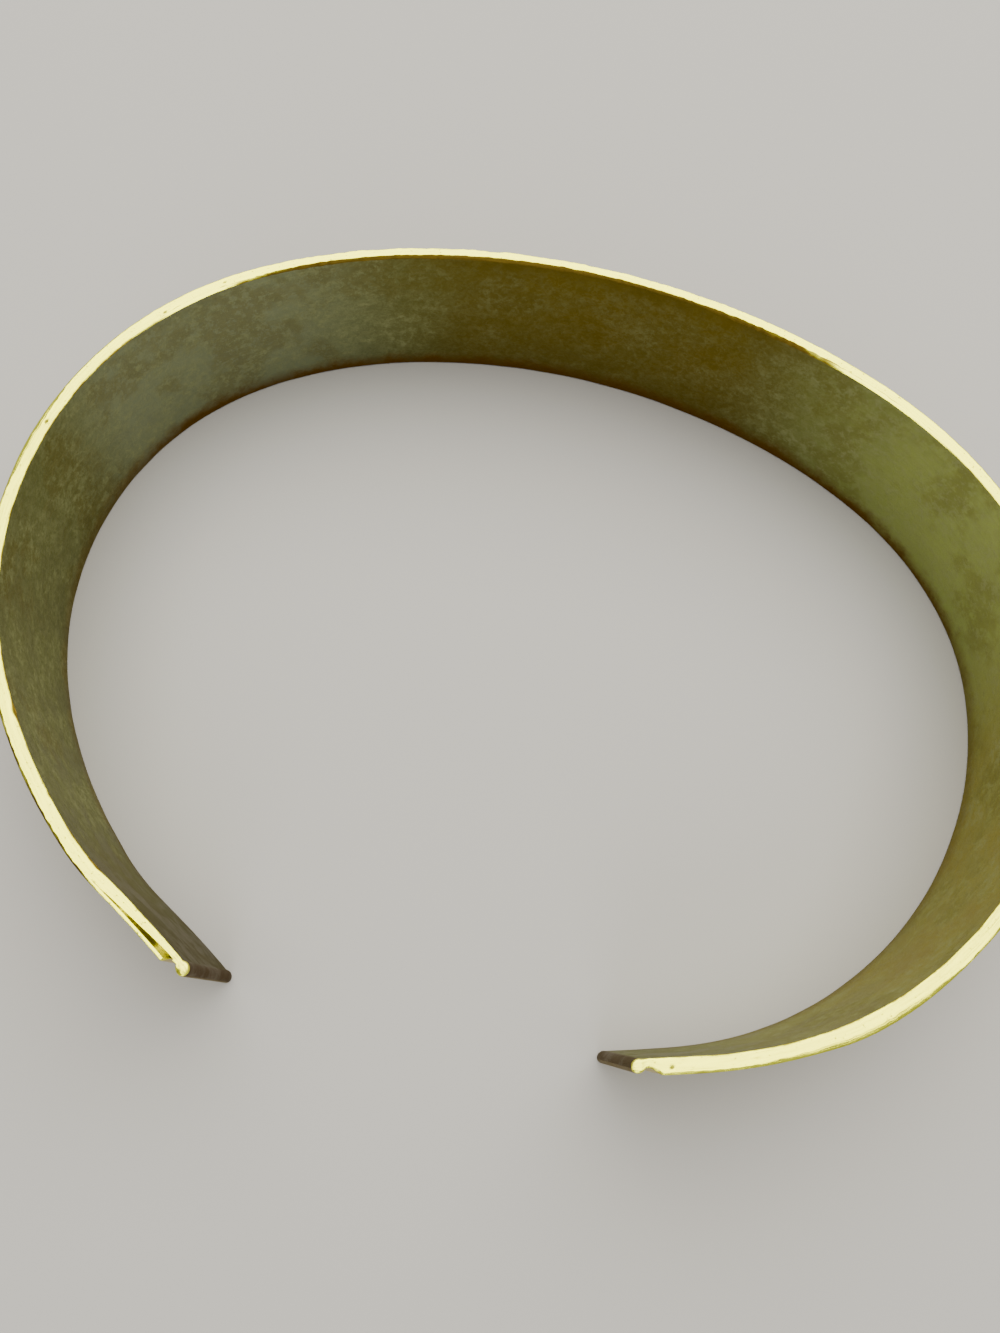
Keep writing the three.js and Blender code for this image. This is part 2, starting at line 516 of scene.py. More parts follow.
@dataclass
class CuffBand:
    """The whole bracelet: the bent strip as one fine closed skin with its rims, lips, grooves and slot.

    The divisions are the steps across each side of the section, in the order of Side. A chamfer bulges by
    its roundness times its width. A lip's rings are at even angles round it, given by the first, the limit
    and the step in degrees, and a mark's reach as far as so many of its half sizes.
    """

    sheet: float = 0.8
    lower_cut: float = 0.1
    rim_roundness: float = 0.05
    lip_roundness: float = 0.2
    tip_bare: float = 0.5
    ring_step: float = 0.18
    least_step: float = 0.012
    lip_angles: tuple[int, int, int] = (14, 180, 12)
    left_rings: int = 14
    right_rings: int = 18
    slot_rings: int = 60
    slot_gap: float = 0.02
    mark_rings: int = 13
    mark_reach: float = 2.4
    strip: Strip = field(default_factory=Strip)
    left: Tip = field(default_factory=lambda: Tip(runout=0.3, hollow=0.15, hollow_length=26.0))
    right: Tip = field(default_factory=lambda: Tip(runout=0.75, lip_proud=0.02, neck=0.44, groove_length=0.1))
    slot: Slot = field(default_factory=Slot)
    wear: Wear = field(default_factory=Wear)
    divisions: tuple[int, ...] = (2, 3, 2, 20, 4, 2, 4, 4, 7, 4, 24)
    crease_degrees: float = 24.0

    def distances(self) -> Array:
        """Set out the rings: in even steps, and closer at the ends, the slot and the marks behind the lips.

        A ring that would come too close to the one before it is left out.

        Returns:
            The rings' distances from the left tip, in order.
        """
        length = self.strip.blank_length
        round_lip = (1 - np.cos(np.radians(np.arange(*self.lip_angles)))) / 2
        left, right = (
            np.concatenate([round_lip * tip.lip_diameter, np.linspace(tip.lip_diameter, tip.reach(), rings)])
            for tip, rings in ((self.left, self.left_rings), (self.right, self.right_rings)))
        right = length - right
        slot_end = self.left.reach() + self.slot.length
        slot = np.linspace(self.left.reach() + self.slot_gap, slot_end, self.slot_rings)
        count = int((right.min() - slot_end) / self.ring_step)
        plain = np.linspace(slot_end, right.min(), count + 1)[1:-1]
        across = np.linspace(-self.mark_reach, self.mark_reach, self.mark_rings)
        near = [mark.share * length + mark.half_along * across
                for mark in self.wear.marks if mark.share * length > self.left.reach()]
        wanted = np.sort(np.concatenate([left, slot, plain, right, *near]))
        return wanted[np.concatenate([[True], np.diff(wanted) > self.least_step])]

    def key_points(self, distance: Array, width: float, rows: dict[str, Array]) -> tuple[Array, Array]:
        """The eleven corners of the cross-section at each distance, in order round the section.

        They run up the outer face, inwards over the upper rim and its slot, and down the inner face. What
        lies across the sheet shrinks with it where an end is thin, apart from the slot's inner wall, which
        runs on straight into the groove.

        Args:
            distance: distances of the rings from the left tip.
            width: the band's width.
            rows: the upper chamfers' sizes and bareness at each ring.

        Returns:
            Two arrays of a row per ring and a column per corner: the way out from the sheet's inner face,
            and the height.
        """
        left_inner, left_outer = self.left.faces(distance, self.sheet)
        from_right = self.strip.blank_length - distance
        right_inner, right_outer = self.right.faces(from_right, self.sheet)
        near_left = distance < from_right
        inner = np.where(near_left, left_inner, right_inner)
        outer = np.where(near_left, left_outer, right_outer)
        thin = np.minimum(1, (outer - inner) / self.sheet)
        low_cut = self.lower_cut * thin
        inner_cut = rows["inner_cut"] * thin
        outer_cut = rows["outer_cut"] * thin
        in_lip = np.minimum(distance, from_right) < self.left.lip_diameter
        inner_slope, outer_slope = (np.where(in_lip, 1.0, self.wear.slope(rows[name]))
                                    for name in ("inner_bare", "outer_bare"))

        slot = self.slot
        is_open = slot.open_share(distance, self.left)
        sliver_edge = outer - np.maximum(slot.sliver * thin, outer_cut + slot.shoulder)
        slot_width = slot.start_width + (slot.width - slot.start_width) * is_open ** slot.spread
        slot_edge = sliver_edge - slot_width * thin
        in_mouth = (distance < self.left.reach()) & (slot.rise(distance, self.left) > 0)
        wall = self.sheet - slot.sliver - slot.width
        part = slot.width / (slot.width + slot.sliver)
        slot_edge = np.where(in_mouth, wall, slot_edge)
        sliver_edge = np.where(in_mouth, wall + (outer - wall) * part, sliver_edge)
        most_cut = slot.mouth_chamfer * (outer - sliver_edge)
        outer_cut = np.where(in_mouth, np.minimum(outer_cut, most_cut), outer_cut)
        deepening = (1 - slot.late_share) * is_open + slot.late_share * is_open ** 4
        cleft = np.where(in_mouth, is_open, deepening)

        top = np.full_like(distance, width)
        zero = np.zeros_like(distance)
        sliver_top = top - slot.depth * slot.fallen(distance, self.left)
        bottom = top - slot.depth * cleft
        out = [inner, inner + low_cut, outer - low_cut, outer, outer, outer - outer_cut, sliver_edge,
               (1 - slot.lean) * sliver_edge + slot.lean * slot_edge, slot_edge, inner + inner_cut, inner]
        height = [low_cut, zero, zero, low_cut, sliver_top - outer_cut * outer_slope, sliver_top, sliver_top,
                  np.minimum(bottom, sliver_top), top, top, top - inner_cut * inner_slope]
        return np.stack(out, axis=1), np.stack(height, axis=1)

    def section(self, distance: Array, width: float) -> tuple[Array, Array, Array]:
        """All the points of each ring's section, with the wear on them.

        Even steps join the corners. The upper chamfers bulge by a sine of their roundness, so that the lips'
        are round. The marks press the rim down. The two broad faces waver a little in and out, but not at
        the tips.

        Args:
            distance: distances of the rings from the left tip.
            width: the band's width.

        Returns:
            Each point's way out from the inner face, its height, and how bare of tarnish it is.
        """
        wear = self.wear
        length = self.strip.blank_length
        rows = wear.along(length, distance)
        out_key, height_key = self.key_points(distance, width, rows)
        side = np.repeat(np.arange(len(self.divisions)), self.divisions)
        part = np.concatenate([np.arange(n) / n for n in self.divisions])
        following = (side + 1) % len(self.divisions)
        out = out_key[:, side] * (1 - part) + out_key[:, following] * part
        height = height_key[:, side] * (1 - part) + height_key[:, following] * part
        from_tip = np.minimum(distance, length - distance)
        in_lip = from_tip < self.left.lip_diameter
        roundness = np.where(in_lip, self.lip_roundness, self.rim_roundness)
        for chamfer, outward in ((Side.OUTER_CHAMFER, 1), (Side.INNER_CHAMFER, -1)):
            on = side == chamfer
            cut = np.abs(out_key[:, chamfer + 1] - out_key[:, chamfer])[:, None]
            bulge = roundness[:, None] * cut * np.sin(math.pi * part[on])
            out[:, on] += bulge * outward
            height[:, on] += bulge
        at = np.stack([np.broadcast_to(distance[:, None], out.shape), height], axis=2)
        across = np.clip(out / self.sheet, 0, 1)
        calm = np.clip(from_tip / wear.calm_length, 0, 1)[:, None]
        for seed, weight in ((21, 1 - across), (22, across)):
            out += wear.face_waver * calm * weight * ripple(at, *wear.face_waves, seed)
        out += across * wear.pushed_out(length, distance[:, None], width - height)
        depth, full = wear.dents(length, distance[:, None], out)
        depth += self.left.drop(from_tip)[:, None]
        height -= depth * np.clip((height - width + wear.dent_reach) / wear.dent_fade, 0, 1)
        bare = self.bareness(side, part, rows, distance)
        return out, height, np.clip(bare - full, 0, 1)

    def bareness(self, side: Array, part: Array, rows: dict[str, Array], distance: Array) -> Array:
        """How bare of tarnish each point of the rims is: the flat is bare, the slot's walls are half so.

        A chamfer has its own value. Where it isn't quite bare, the value falls towards its foot, at which
        the broad face's tarnish starts: it is raised to a power that grows from one to the foot's power. A
        thin line of dirt lies where a wide chamfer meets the flat, but not at the tips.

        Args:
            side: which of the section's sides each column is on.
            part: how far along its side each column is.
            rows: the upper chamfers' sizes and bareness at each ring.
            distance: distances of the rings from the left tip.

        Returns:
            The bareness, a row per ring and a column per point.
        """
        wear = self.wear
        bare = np.ones((len(distance), len(side)))
        for chamfer, name, from_flat in ((Side.OUTER_CHAMFER, "outer_bare", 1 - part),
                                         (Side.INNER_CHAMFER, "inner_bare", part)):
            on = side == chamfer
            bare[:, on] = rows[name][:, None] ** (1 + (wear.foot_power - 1) * from_flat[on])
        plain = (distance > wear.clean_length) & (distance < self.strip.blank_length - wear.clean_length)
        for after, name in ((Side.INNER_CHAMFER, "inner_cut"), (Side.SLIVER_TOP, "outer_cut")):
            at_corner = (side == after) & (part == 0)
            line = wear.line(rows[name]) * bare[:, at_corner][:, 0]
            bare[:, at_corner] = np.where(plain, line, 1.0)[:, None]
        is_open = self.slot.open_share(distance, self.left) > 0
        walls = ((side == Side.SLOT_OUTER_WALL) & (part > 0)) | (side == Side.SLOT_INNER_WALL)
        bare[np.ix_(is_open, walls)] = self.slot.bare
        foot = (side == Side.INSIDE) & (part == 0)
        bare[:, foot] = rows["inner_bare"][:, None] ** wear.foot_power
        bare[:, side <= Side.LOWER_OUTER_CUT] = wear.lower_bare
        return bare

    def build(self) -> bpy.types.Object:
        """Loft the skin through all the rings and close it at both tips.

        A ring's points are set out from the middle line along the way out of the cuff, and its height is
        the point's own. Near a tip, the ring is also moved along the strip and outwards by the tip's shift.

        Returns:
            The band's object, in the row's frame.
        """
        low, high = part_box(NODE)
        width = (high.z - low.z) / MM
        distance = self.distances()
        walked, line, outward = self.strip.line()
        centre = np.stack([np.interp(distance, walked, line[:, i]) for i in (0, 1)], axis=1)
        way = np.stack([np.interp(distance, walked, outward[:, i]) for i in (0, 1)], axis=1)
        way /= np.linalg.norm(way, axis=1)[:, None]
        forward = np.stack([way[:, 1], -way[:, 0]], axis=1)
        for tip, from_tip, sign in ((self.left, distance, -1), (self.right, walked[-1] - distance, 1)):
            on, swung = tip.shift(from_tip)
            centre += forward * (sign * on)[:, None] + way * swung[:, None]
        out, height, bare = self.section(distance, width)
        plan = centre[:, None, :] + way[:, None, :] * (out - self.sheet / 2)[..., None]
        place = np.concatenate([plan, height[..., None]], axis=2)
        box_centre = np.array([(low.x + high.x) / 2, (low.y + high.y) / 2]) / MM
        shape_centre = (place.reshape(-1, 3).min(0) + place.reshape(-1, 3).max(0)) / 2
        place[..., :2] += box_centre - shape_centre[:2]
        return self.skin(place, distance, bare)

    def skin(self, place: Array, distance: Array, bare: Array) -> bpy.types.Object:
        """Put the rings into a mesh of quads with a fan of triangles at each tip.

        Args:
            place: the rings' points, ring by ring, in millimetres.
            distance: the rings' distances from the left tip.
            bare: how bare of tarnish each point is.

        Returns:
            The new object.
        """
        rings, columns = place.shape[:2]
        row = np.arange(rings - 1)[:, None] * columns
        here = np.arange(columns)[None, :]
        beside = (here + 1) % columns
        quads = np.stack([row + beside, row + columns + beside, row + columns + here, row + here], axis=2)
        points = np.vstack([place.reshape(-1, 3), place[[0, -1]].mean(axis=1)])
        left_middle = rings * columns
        right_middle = left_middle + 1
        end = (rings - 1) * columns
        left_fan = np.stack([here[0], beside[0], np.full(columns, left_middle)], axis=1)
        right_fan = np.stack([end + beside[0], end + here[0], np.full(columns, right_middle)], axis=1)
        faces = quads.reshape(-1, 4).tolist() + left_fan.tolist() + right_fan.tolist()
        mesh = bpy.data.meshes.new("cuff_skin")
        mesh.from_pydata((points * MM).tolist(), [], faces)
        broad = {Side.OUTSIDE: Face.OUTSIDE, Side.INSIDE: Face.INSIDE}
        kind = np.repeat([broad.get(side, Face.RIM).value for side in Side], self.divisions)
        slots = np.concatenate([np.tile(kind, rings - 1), np.full(2 * columns, Face.INSIDE.value)])
        mesh.polygons.foreach_set("material_index", slots.astype(np.int32))
        mesh.polygons.foreach_set("use_smooth", np.ones(len(slots), bool))
        strip_map = self.strip_map(place[rings // 2], distance)
        mesh.uv_layers.new(name="strip").data.foreach_set("uv", strip_map)
        bare_all = np.concatenate([bare.reshape(-1), [self.tip_bare, self.tip_bare]])
        mesh.attributes.new("bare", "FLOAT", "POINT").data.foreach_set("value", bare_all)
        mesh.update()
        mesh.set_sharp_from_angle(angle=math.radians(self.crease_degrees))
        body = bpy.data.objects.new("cuff_skin", mesh)
        bpy.context.scene.collection.objects.link(body)
        return body

    def strip_map(self, ring: Array, distance: Array) -> Array:
        """The UV map, in millimetres: the distance from the left tip, and the way round the section.

        The way round is the sum of the steps from point to point of one ring.

        Args:
            ring: the points of the ring that the way round is measured on.
            distance: the rings' distances from the left tip.

        Returns:
            The two values for every corner of the faces in turn, in one row.
        """
        steps = np.linalg.norm(np.roll(ring, -1, axis=0) - ring, axis=1)
        round_it = np.concatenate([[0.0], np.cumsum(steps)])
        this, following = round_it[:-1], round_it[1:]
        near, far = distance[:-1, None], distance[1:, None]
        quads = np.stack(np.broadcast_arrays(near, following, far, following, far, this, near, this), axis=2)
        fans = [np.stack([tip, this, tip, following, tip, this], axis=1).reshape(-1)
                for tip in (np.full(len(ring), at) for at in (distance[0], distance[-1]))]
        return np.concatenate([quads.reshape(-1), *fans])


@dataclass(frozen=True)
class Clouds:
    """One layer of soft random patches.

    Its noise is as coarse as the size in millimetres, and the part of it from low to high runs from
    nothing to one. The place is the layer's own draw, and the swirl bends the patches into strokes.
    """

    size: float
    low: float
    high: float
    detail: float
    roughness: float
    place: float
    swirl: float = 0.0

    def share(self, tree: Tree, at: Socket) -> Socket:
        """Add the layer's nodes.

        Args:
            tree: the material's node tree.
            at: where the surface is, in millimetres.

        Returns:
            How much of a patch each place has, from nothing to one.
        """
        noise = add_node(tree, Kind.NOISE, at, W=self.place, Scale=1 / self.size, Detail=self.detail,
                         Roughness=self.roughness, Distortion=self.swirl)
        return add_node(tree, Kind.RAMP, noise, self.low, self.high)


@dataclass(frozen=True)
class Lines(Clouds):
    """A layer of fine lines along the strip, with their length and width in millimetres."""

    length: float = 5.0
    width: float = 0.1

    def share(self, tree: Tree, at: Socket) -> Socket:
        """Add the layer's nodes, on places counted in a line's lengths and widths.

        Args:
            tree: the material's node tree.
            at: the way along the strip and round its section, in millimetres.

        Returns:
            How much of a line each place has, from nothing to one.
        """
        drawn_out = add_node(tree, Kind.STRETCH, at, (1 / self.length, 1 / self.width, 1.0))
        return super().share(tree, drawn_out)


@dataclass(frozen=True)
class Surface:
    """What a finish works out for every place: its colour, its roughness and its relief."""

    colour: Socket
    roughness: Socket
    relief: Socket


@dataclass(frozen=True)
class Finish:
    """What the brass finishes share: the metal's shader, and the painted shade at the strip's tips.

    The roughness runs from its value without the finish's pattern to that with it. The low angle is the
    colour that the metal mirrors with where it is seen at one.
    """

    name: str
    roughness: tuple[float, float]
    relief_strength: float
    relief_depth: float
    strip_length: float = Strip.blank_length
    # The tips' painted shade: how far from a tip it starts, where it is full, and its share there.
    tip_shade_length: float = 0.7
    tip_shade_edge: float = 0.2
    tip_shade_share: float = 0.9
    low_angle: str = "ffffff"

    def surface(self, tree: Tree, place: Socket, strip: Socket) -> Surface:
        """Work out the finish's own colour, roughness and relief.

        Args:
            tree: the material's node tree.
            place: the object's coordinates, in millimetres.
            strip: the way along the strip and round its section, in millimetres.

        Returns:
            The three sockets.
        """
        raise NotImplementedError

    def tip_shade(self, tree: Tree, strip: Socket) -> Socket:
        """How much painted shade each place has near either tip, where the lips are painted dark brown as
        shade and as the reflection of a dark surface.

        Args:
            tree: the material's node tree.
            strip: the way along the strip and round its section, in millimetres.

        Returns:
            The share of painted shade, which fades smoothly away from the tips.
        """
        along = add_node(tree, Kind.X_OF, strip)
        left = add_node(tree, Kind.RAMP, along, self.tip_shade_length, self.tip_shade_edge, 0.0, self.tip_shade_share)
        right = add_node(tree, Kind.RAMP, along, self.strip_length - self.tip_shade_length,
                         self.strip_length - self.tip_shade_edge, 0.0, self.tip_shade_share)
        return add_node(tree, Kind.LARGER, left, right)

    def material(self) -> bpy.types.Material:
        """Make the material and join the surface to its shader.

        Returns:
            The new material.
        """
        material = bpy.data.materials.new(self.name)
        material.use_nodes = True
        tree = material.node_tree
        shader = tree.nodes["Principled BSDF"]
        shader.inputs["Metallic"].default_value = 1.0
        shader.inputs["Specular Tint"].default_value = linear(self.low_angle)
        place = add_node(tree, Kind.SCALE, add_node(tree, Kind.PLACE), 1 / MM)
        made = self.surface(tree, place, add_node(tree, Kind.STRIP))
        bump = add_node(tree, Kind.BUMP, made.relief, Strength=self.relief_strength,
                        Distance=self.relief_depth * MM)
        for name, socket in (("Base Color", made.colour), ("Roughness", made.roughness), ("Normal", bump)):
            tree.links.new(socket, shader.inputs[name])
        return material


@dataclass(frozen=True)
class TarnishedBrass(Finish):
    """Rolled brass sheet left to tarnish: cloudy olive to the eye, with painted shade and reflection in brown
    at the back and along its foot.

    The clouds are 1 to 4 mm across and the speckle 0.3 mm, as tarnish grows on a sheet that hands touch. It
    is darker towards the ends. Rolling lines are nearer 0.02 mm, too fine to show, so they are
    drawn 0.12 mm wide.
    """

    name: str = "tarnished_brass"
    roughness: tuple[float, float] = (0.4, 0.56)
    relief_strength: float = 0.55
    relief_depth: float = 0.03
    low_angle: str = "dedad2"
    olive: str = "646a3b"
    # Grey-green painted reflection of the sky.
    sky_reflection: str = "828b70"
    light: str = "989c6c"
    # Lighter green and warm olive for the right side: partly the tarnish's own tone, partly painted light.
    green: str = "9ca85c"
    warm: str = "948b3a"
    # Brown: painted shade and painted reflection at the back, and also the tarnish's own dark speckle.
    brown: str = "64560c"
    # Dark brown painted along the foot as shade; the rolling lines are tinted with it too.
    foot: str = "644400"
    darker_ends: str = "3a3410"
    # Dark brown painted at the tips as shade.
    tips: str = "3c2804"
    clouds: Clouds = Clouds(2.2, 0.36, 0.64, 8.0, 0.68, 1.0)
    patches: Clouds = Clouds(5.0, 0.38, 0.64, 5.0, 0.6, 7.0)
    speckle: Clouds = Clouds(0.55, 0.4, 0.66, 6.0, 0.75, 3.0)
    strokes: Clouds = Clouds(0.45, 0.36, 0.66, 4.0, 0.62, 9.0, swirl=1.4)
    lines: Lines = Lines(1.0, 0.35, 0.68, 3.0, 0.6, 5.0, length=5.0, width=0.12)
    warm_and_lit_right: Span = (9.0, 27.0)
    green_back: Span = (-6.0, 9.0)
    green_patches: float = 0.5
    sky_reflection_back: Span = (3.0, 10.0)
    sky_reflection_left: Span = (-22.0, -11.0, 0.9, 0.0)
    reflected_brown_back: Span = (8.0, 16.0)
    reflected_brown_sides: tuple[Span, Span] = ((-17.0, -5.0), (8.0, 18.0, 1.0, 0.0))
    reflected_brown_patches: Span = (0.0, 1.0, 1.0, 0.8)
    light_speckle: Span = (0.0, 1.0, 0.14, 0.62)
    light_strokes: Span = (0.0, 1.0, 0.0, 0.24)
    light_back: Span = (0.0, 1.0, 1.0, 0.5)
    dark_patches: Span = (0.4, 1.0, 0.06, 0.36)
    dark_speckle: Span = (0.2, 0.8, 1.0, 0.2)
    band_waver: float = 0.6
    painted_foot_shade: Span = (1.4, -0.2)
    painted_foot_shade_back: Span = (0.0, 14.0, 0.4, 1.0)
    # Where the painted shade under the rim at the back starts and is full, and its share.
    under_rim_shade: Span = (9.6, 11.4, 0.0, 0.75)
    left_near_ends: Span = (16.0, 0.0, 0.0, 0.9)
    right_near_ends: Span = (Strip.blank_length - 10.0, Strip.blank_length, 0.0, 0.3)
    line_share: float = 0.08
    reliefs: tuple[float, float, float] = (0.3, 0.2, 0.15)

    def surface(self, tree: Tree, place: Socket, strip: Socket) -> Surface:
        """Work out the inner face: olive tarnish and its clouds, a painted sky reflection, a right side
        painted partly lighter, painted brown shade and reflection at the back, under the rim and at the foot,
        and darker ends.

        Each colour is laid over the ones before it by its share.

        Args:
            tree: the material's node tree.
            place: the object's coordinates, in millimetres.
            strip: the way along the strip and round its section, in millimetres.

        Returns:
            The colour, roughness and relief.
        """
        add = partial(add_node, tree)
        x_way, y_way, z_way = (add(kind, place) for kind in (Kind.X_OF, Kind.Y_OF, Kind.Z_OF))
        along = add(Kind.X_OF, strip)
        clouds, patches, speckle, strokes = (
            layer.share(tree, place) for layer in (self.clouds, self.patches, self.speckle, self.strokes))
        lines = self.lines.share(tree, strip)

        # The right side is painted lighter, warm at the front and green at the back: partly the tarnish's own
        # tone, partly painted light where that side faces the light.
        greener = add(Kind.LARGER, add(Kind.RAMP, y_way, *self.green_back),
                      add(Kind.MULTIPLY, patches, self.green_patches))
        warm_and_lit_side = add(Kind.MIX, greener, linear(self.warm), linear(self.green))
        body = add(Kind.MIX, add(Kind.RAMP, x_way, *self.warm_and_lit_right), linear(self.olive), warm_and_lit_side)
        # Painted reflection of the sky: grey-green laid on the back of the left side.
        sky_reflected = add(Kind.MULTIPLY, add(Kind.RAMP, y_way, *self.sky_reflection_back),
                   add(Kind.RAMP, x_way, *self.sky_reflection_left))
        # Painted shade and painted reflection of a dark surface in front: brown at the back, broken up by the
        # patches.
        back = add(Kind.RAMP, y_way, *self.reflected_brown_back)
        for side in self.reflected_brown_sides:
            back = add(Kind.MULTIPLY, back, add(Kind.RAMP, x_way, *side))
        reflected_brown = add(Kind.MULTIPLY, back, add(Kind.RAMP, patches, *self.reflected_brown_patches))
        light = add(Kind.MULTIPLY, clouds, add(Kind.RAMP, speckle, *self.light_speckle))
        light = add(Kind.ADD, light, add(Kind.RAMP, strokes, *self.light_strokes))
        light = add(Kind.MULTIPLY, light, add(Kind.RAMP, back, *self.light_back))
        dark = add(Kind.MULTIPLY, add(Kind.RAMP, patches, *self.dark_patches),
                   add(Kind.RAMP, speckle, *self.dark_speckle))

        waver = add(Kind.MULTIPLY, clouds, self.band_waver)
        # Painted shade along the foot: a contact shadow and a dark reflection in dark brown, strongest at the
        # back.
        foot = add(Kind.RAMP, add(Kind.SUBTRACT, z_way, waver), *self.painted_foot_shade)
        foot = add(Kind.MULTIPLY, foot, add(Kind.RAMP, y_way, *self.painted_foot_shade_back))
        # The top of the back wall is painted browner: painted shade and reflection under the rim.
        top = add(Kind.RAMP, add(Kind.ADD, z_way, waver), *self.under_rim_shade)
        top = add(Kind.MULTIPLY, top, back)
        # Darker towards both ends, most at the left.
        near_ends = add(Kind.LARGER, add(Kind.RAMP, along, *self.left_near_ends),
                   add(Kind.RAMP, along, *self.right_near_ends))
        rolled = add(Kind.MULTIPLY, lines, self.line_share)
        for share, colour in (
                (sky_reflected, self.sky_reflection), (reflected_brown, self.brown), (light, self.light), (dark, self.brown),
                (top, self.brown), (foot, self.foot), (near_ends, self.darker_ends),
                (self.tip_shade(tree, strip), self.tips), (rolled, self.foot)):
            body = add(Kind.MIX, share, body, linear(colour))

        rough = add(Kind.RAMP, clouds, 0.0, 1.0, *self.roughness)
        relief = clouds
        for layer, share in zip((speckle, strokes, lines), self.reliefs):
            relief = add(Kind.ADD, relief, add(Kind.MULTIPLY, layer, share))
        return Surface(body, rough, relief)


@dataclass(frozen=True)
class FiledBrass(Finish):
    """Brass filed bare along its edge: bright pale yellow lines to the eye, dull where tarnish is left.

    A fine file leaves lines about 0.05 mm apart, too fine to show, so they are drawn 0.09 mm wide and a
    few millimetres long.
    """

    name: str = "filed_brass"
    roughness: tuple[float, float] = (0.47, 0.27)
    relief_strength: float = 0.5
    relief_depth: float = 0.015
    bare: str = "f2f040"
    worn: str = "d8d23c"
    tarnish: str = "5e4c16"
    file_lines: Lines = Lines(1.0, 0.38, 0.66, 3.0, 0.6, 2.0, length=2.5, width=0.09)
    specks: Clouds = Clouds(0.16, 0.66, 0.74, 2.0, 0.5, 4.0)
    clouds: Clouds = Clouds(1.4, 0.35, 0.65, 4.0, 0.6, 6.0)
    ragged: Span = (0.0, 1.0, -0.15, 0.15)
    clean: Span = (0.2, 0.85)
    worn_share: float = 0.35
    speck_share: float = 0.6
    line_relief: float = 0.5

    def surface(self, tree: Tree, place: Socket, strip: Socket) -> Surface:
        """Work out the filed edge: bare metal with file lines, and tarnish where the mesh isn't bare.

        Args:
            tree: the material's node tree.
            place: the object's coordinates, in millimetres.
            strip: the way along the strip and round its section, in millimetres.

        Returns:
            The colour, roughness and relief.
        """
        add = partial(add_node, tree)
        lines = self.file_lines.share(tree, strip)
        specks = self.specks.share(tree, place)
        clouds = self.clouds.share(tree, place)
        ragged = add(Kind.ADD, add(Kind.BARE), add(Kind.RAMP, clouds, *self.ragged))
        clean = add(Kind.RAMP, ragged, *self.clean)
        worn = add(Kind.MULTIPLY, lines, self.worn_share)
        body = add(Kind.MIX, worn, linear(self.bare), linear(self.worn))
        body = add(Kind.MIX, clean, linear(self.tarnish), body)
        body = add(Kind.MIX, add(Kind.MULTIPLY, specks, self.speck_share), body, linear(self.tarnish))
        rough = add(Kind.RAMP, clean, 0.0, 1.0, *self.roughness)
        relief = add(Kind.SUBTRACT, add(Kind.MULTIPLY, lines, self.line_relief), specks)
        return Surface(body, rough, relief)


@dataclass(frozen=True)
class SatinBrass(Finish):
    """Brass sheet rubbed along its length: soft yellow to the eye, with thin tarnish and fine scratches.

    Rubbing leaves scratches of about 0.02 mm, too fine to show, so they are drawn 0.07 to 0.1 mm wide.
    """

    name: str = "satin_brass"
    roughness: tuple[float, float] = (0.36, 0.5)
    relief_strength: float = 0.4
    relief_depth: float = 0.02
    bright: str = "cab76c"
    dull: str = "93863f"
    brown: str = "6e5c22"
    scratch: str = "e6dca0"
    # Dark brown painted at the tips as shade.
    tips: str = "4e3c12"
    clouds: Clouds = Clouds(4.5, 0.3, 0.74, 9.0, 0.66, 11.0)
    stains: Clouds = Clouds(1.6, 0.6, 0.76, 6.0, 0.7, 14.0)
    lines: Lines = Lines(1.0, 0.4, 0.66, 3.0, 0.6, 12.0, length=6.0, width=0.1)
    scratches: Lines = Lines(1.0, 0.66, 0.72, 2.0, 0.5, 13.0, length=4.0, width=0.07)
    half_width: float = 5.55
    dull_edges: Span = (3.6, 5.6, 0.0, 0.35)
    cloud_share: float = 0.55
    stain_share: float = 0.35
    line_share: float = 0.25
    scratch_share: float = 0.5
    tip_shade_roughness: float = 0.25
    line_relief: float = 0.3
    cloud_relief: float = 0.5

    def surface(self, tree: Tree, place: Socket, strip: Socket) -> Surface:
        """Work out the rubbed face: thin clouds and small stains, duller edges, lines and scratches.

        Args:
            tree: the material's node tree.
            place: the object's coordinates, in millimetres.
            strip: the way along the strip and round its section, in millimetres.

        Returns:
            The colour, roughness and relief.
        """
        add = partial(add_node, tree)
        clouds, stains = (layer.share(tree, place) for layer in (self.clouds, self.stains))
        lines, scratches = (layer.share(tree, strip) for layer in (self.lines, self.scratches))
        from_middle = add(Kind.UNSIGNED, add(Kind.SUBTRACT, add(Kind.Z_OF, place), self.half_width))
        edge = add(Kind.RAMP, from_middle, *self.dull_edges)
        thin_tarnish = add(Kind.ADD, add(Kind.MULTIPLY, clouds, self.cloud_share), edge)
        body = add(Kind.MIX, thin_tarnish, linear(self.bright), linear(self.dull))
        for layer, share, colour in (
                (stains, self.stain_share, self.brown), (lines, self.line_share, self.dull),
                (scratches, self.scratch_share, self.scratch)):
            body = add(Kind.MIX, add(Kind.MULTIPLY, layer, share), body, linear(colour))
        # The painted shade at the tips: dark brown, and a little rougher.
        dirt = self.tip_shade(tree, strip)
        body = add(Kind.MIX, dirt, body, linear(self.tips))
        rough = add(Kind.RAMP, clouds, 0.0, 1.0, *self.roughness)
        rough = add(Kind.ADD, rough, add(Kind.MULTIPLY, dirt, self.tip_shade_roughness))
        relief = add(Kind.ADD, add(Kind.MULTIPLY, lines, self.line_relief),
                     add(Kind.MULTIPLY, clouds, self.cloud_relief))
        return Surface(body, rough, relief)


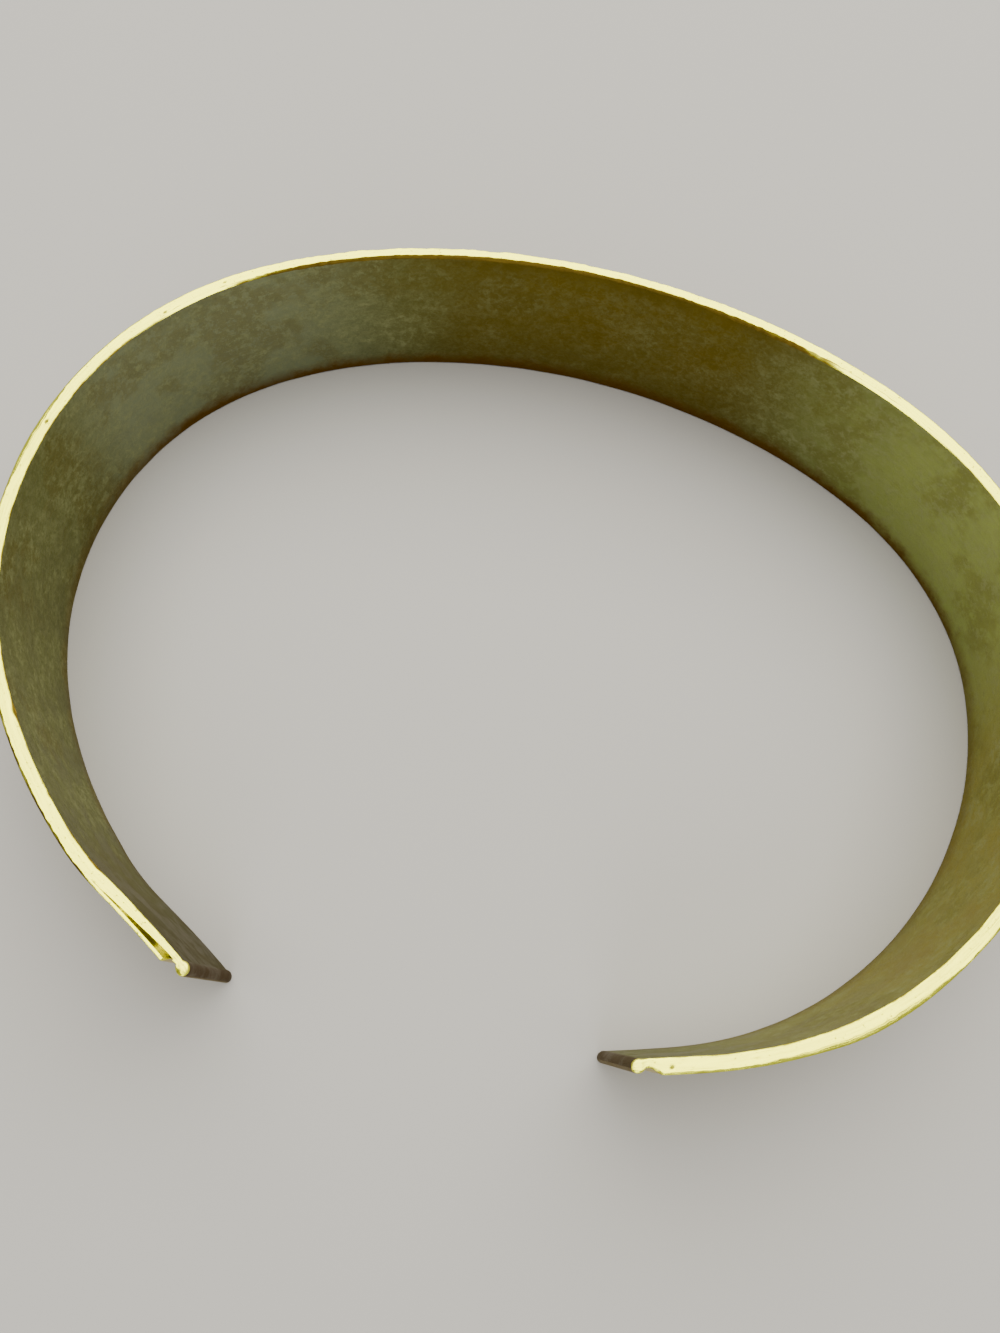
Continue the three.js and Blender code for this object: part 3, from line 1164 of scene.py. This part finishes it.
@dataclass(frozen=True)
class Lamp:
    """A square soft light that faces the cuff: its place, size, power and colour."""

    name: str
    place: tuple[float, float, float]
    size: float
    watts: float
    colour: str

    def build(self) -> None:
        """Hang the lamp."""
        data = bpy.data.lights.new(self.name, "AREA")
        data.size = self.size * MM
        data.energy = self.watts
        data.color = linear(self.colour)[:3]
        lamp = bpy.data.objects.new(self.name, data)
        bpy.context.scene.collection.objects.link(lamp)
        lamp.location = Vector(self.place) * MM
        lamp.rotation_euler = (-lamp.location).to_track_quat("-Z", "Y").to_euler()


@dataclass
class Studio:
    """The pale floor, the soft lights and the camera."""

    floor_half: float = 600.0
    floor_colour: str = "93908b"
    floor_roughness: float = 0.7
    sky_colour: str = "eef0f2"
    sky_strength: float = 0.5
    lamps: tuple[Lamp, ...] = (
        Lamp("softbox", (0, 190, 460), 760, 11.0, "fffdf4"),
        Lamp("front_fill", (60, -480, 330), 260, 1.2, "f4f8ff"),
    )
    camera_place: tuple[float, float, float] = (-1.13, -22.96, 63.33)
    camera_tilt: float = 19.43
    camera_heading: float = 0.94
    camera_roll: float = 10.73
    focal_pixels: float = 1001.0
    photo_size: tuple[int, int] = (1000, 1333)
    sensor: float = 36.0

    def floor(self) -> None:
        """Lay a large pale floor under the cuff."""
        half = self.floor_half * MM
        mesh = bpy.data.meshes.new("floor")
        corners = [(-half, -half, 0), (half, -half, 0), (half, half, 0), (-half, half, 0)]
        mesh.from_pydata(corners, [], [(0, 1, 2, 3)])
        plane = bpy.data.objects.new("floor", mesh)
        bpy.context.scene.collection.objects.link(plane)
        material = bpy.data.materials.new("pale_floor")
        material.use_nodes = True
        shader = material.node_tree.nodes["Principled BSDF"]
        shader.inputs["Base Color"].default_value = linear(self.floor_colour)
        shader.inputs["Roughness"].default_value = self.floor_roughness
        plane.data.materials.append(material)

    def camera(self) -> None:
        """Set the camera where the photo was taken from."""
        data = bpy.data.cameras.new("camera")
        data.sensor_width = self.sensor
        data.lens = self.sensor * self.focal_pixels / max(self.photo_size)
        data.clip_start = 1 * MM
        data.clip_end = 10.0
        camera = bpy.data.objects.new("camera", data)
        bpy.context.scene.collection.objects.link(camera)
        turn = (Matrix.Rotation(math.radians(self.camera_heading), 4, "Z")
                @ Matrix.Rotation(math.radians(self.camera_tilt), 4, "X")
                @ Matrix.Rotation(math.radians(self.camera_roll), 4, "Z"))
        camera.matrix_world = Matrix.Translation(Vector(self.camera_place) * MM) @ turn
        bpy.context.scene.camera = camera

    def build(self) -> None:
        """Set up the whole studio."""
        world = bpy.data.worlds.new("studio")
        world.use_nodes = True
        background = world.node_tree.nodes["Background"]
        background.inputs["Color"].default_value = linear(self.sky_colour)
        background.inputs["Strength"].default_value = self.sky_strength
        bpy.context.scene.world = world
        self.floor()
        for lamp in self.lamps:
            lamp.build()
        self.camera()


def main() -> None:
    """Build the studio, the band and its finishes."""
    logging.basicConfig(level=logging.INFO)
    Studio().build()
    band = CuffBand().build()
    finishes = {Face.INSIDE: TarnishedBrass(), Face.OUTSIDE: SatinBrass(), Face.RIM: FiledBrass()}
    for face in Face:
        band.data.materials.append(finishes[face].material())
    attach(band, BODY)
    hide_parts(NODE)
    log.info("%s: %d faces", band.name, len(band.data.polygons))


if __name__ == "__main__":
    main()
